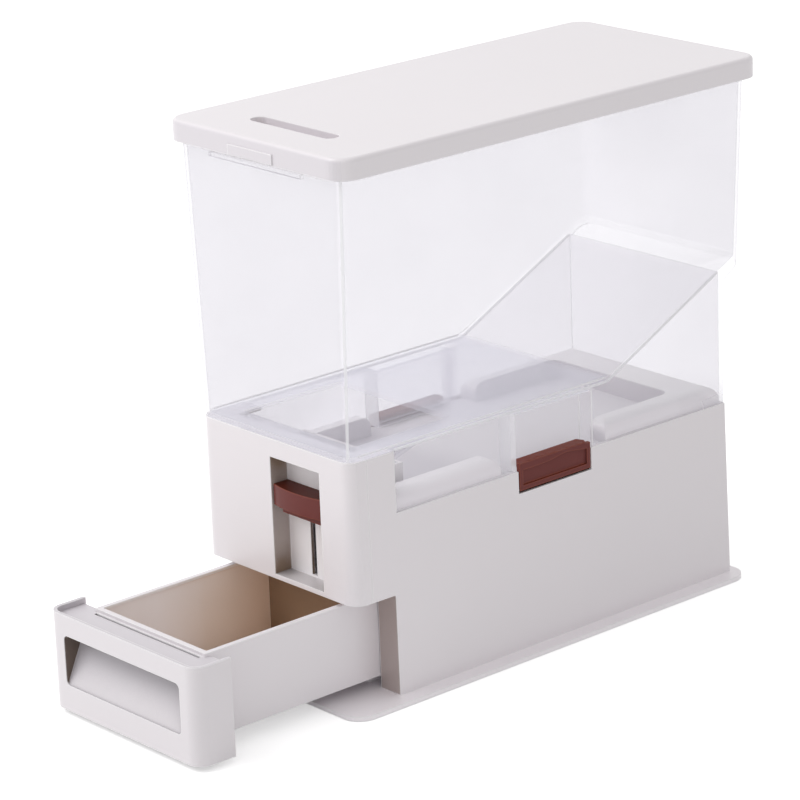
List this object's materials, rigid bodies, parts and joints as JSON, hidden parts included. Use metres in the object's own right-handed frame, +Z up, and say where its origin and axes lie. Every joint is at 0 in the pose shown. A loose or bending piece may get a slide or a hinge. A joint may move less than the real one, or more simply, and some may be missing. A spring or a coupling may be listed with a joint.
{
  "type": "pet food storage container",
  "caption": "Tall pet food storage container with a clear hopper, hinged lid, side latches, a lever-driven metering drum and a pull-out drawer with a scooped handle.",
  "frame": {"origin": "middle of the base underside, half way along and across the base", "axes": "+Z up, front with the lever and drawer towards -Y, +X to the right of someone who looks at the front, where the lever window is"},
  "size_m": [0.1754, 0.4953, 0.3661],
  "materials": {
    "shell": "satin warm off-white moulding",
    "clear": "clear moulding",
    "brown": "glossy reddish brown moulding",
    "inner": "natural moulding",
    "steel": "plain steel",
    "brass": "turned",
    "rubber": "soft grey"
  },
  "bodies": {
    "base": {"base_plate": "shell", "base_body": "shell", "base_deck": "shell", "front_cover": "shell", "drawer_rails": "shell", "plate_screws": "steel", "cover_screws": "steel", "housing_screws": "steel", "metering_housing": "inner", "drum_bushes": "brass", "lever_guide_rod": "steel", "return_spring": "steel", "hopper": "clear", "outlet_seal": "rubber", "latch_pins": "steel"},
    "drawer": {"drawer_box": "shell", "drawer_front": "shell"},
    "lever": {"lever_knob": "brown", "lever_carriage": "inner"},
    "drum": {"metering_drum": "inner", "drum_shaft": "steel", "drum_pinion": "inner"},
    "lid": {"lid": "shell", "lid_seal": "rubber", "lid_hinge_pins": "steel"},
    "right_latch": {"latch_right": "brown"},
    "left_latch": {"latch_left": "brown"}
  },
  "joints": [
    {"name": "drawer_slide", "type": "slide", "parent": "base", "child": "drawer", "axis": [0, -1, 0], "range_m": [-0.131, 0.069]},
    {"name": "lever_press", "type": "slide", "parent": "base", "child": "lever", "axis": [0, 0, -1], "range_m": [0, 0.0377], "stiffness_N_per_m": 120, "springref_m": -0.03, "deforming": ["return_spring"]},
    {"name": "drum_spin", "type": "hinge", "parent": "base", "child": "drum", "pos_m": [0, -0.122, 0.119], "axis": [1, 0, 0], "range_deg": [0, 180]},
    {"name": "lid_hinge", "type": "hinge", "parent": "base", "child": "lid", "pos_m": [0, 0.1915, 0.3545], "axis": [-1, 0, 0], "range_deg": [0, 100]},
    {"name": "right_latch_turn", "type": "hinge", "parent": "base", "child": "right_latch", "pos_m": [0.0711, 0.0065, 0.1155], "axis": [0, 1, 0], "range_deg": [0, 45]},
    {"name": "left_latch_turn", "type": "hinge", "parent": "base", "child": "left_latch", "pos_m": [-0.0711, 0.0065, 0.1155], "axis": [0, -1, 0], "range_deg": [0, 45]}
  ],
  "couplings": [
    {"joint": "drum_spin", "follows": "lever_press", "rad_per_m": 83.333}
  ]
}
